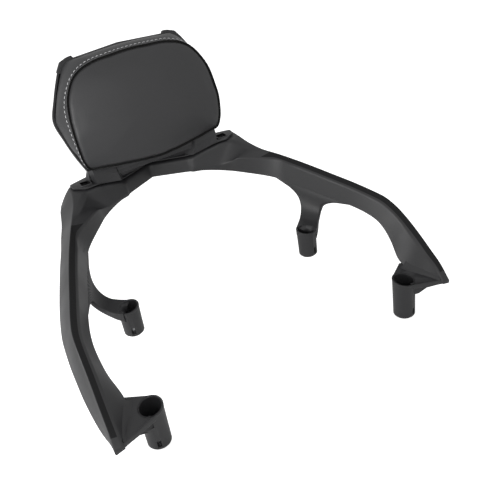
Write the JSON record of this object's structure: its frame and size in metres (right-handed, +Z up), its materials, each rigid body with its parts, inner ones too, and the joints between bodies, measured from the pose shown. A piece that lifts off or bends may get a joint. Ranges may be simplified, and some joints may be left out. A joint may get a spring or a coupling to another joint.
{
  "type": "motorcycle backrest",
  "caption": "U-shaped black plastic rear grab rail with an upright padded backrest, fixed by bolts through collared bosses under its arms.",
  "frame": {"origin": "midway between the two front bosses, on the level of their seats", "axes": "+X to the rider's right, +Y to the rear, +Z up, square to the boss seats"},
  "size_m": [0.4122, 0.3786, 0.2966],
  "materials": {
    "rail_plastic": "fine texture, semi-matt black",
    "collar_steel": "zinc plated",
    "insert_brass": "plain",
    "stay_paint": "black powder coat",
    "bolt_steel": "zinc plated",
    "cover_plastic": "fine texture, semi-matt black",
    "black_steel": "black oxide",
    "shell_plastic": "fine texture, semi-matt black",
    "board_plastic": "plain moulded",
    "foam": "moulded polyurethane foam",
    "cover_leather": "smooth black vinyl leather"
  },
  "bodies": {
    "root": {"grab_rail": "rail_plastic", "boss_collars": "collar_steel", "rail_inserts": "insert_brass", "pedestal_inserts": "insert_brass", "backrest_stay": "stay_paint", "stay_bolts": "bolt_steel", "stay_washers": "bolt_steel", "pedestal_cover": "cover_plastic", "pedestal_screws": "black_steel", "back_shell": "shell_plastic", "shell_screws": "black_steel", "cushion_board": "board_plastic", "tee_nuts": "bolt_steel", "board_bolts": "bolt_steel", "board_washers": "bolt_steel", "cushion_foam": "foam", "cover_border": "cover_leather", "cover_panel": "cover_leather"}
  },
  "joints": []
}
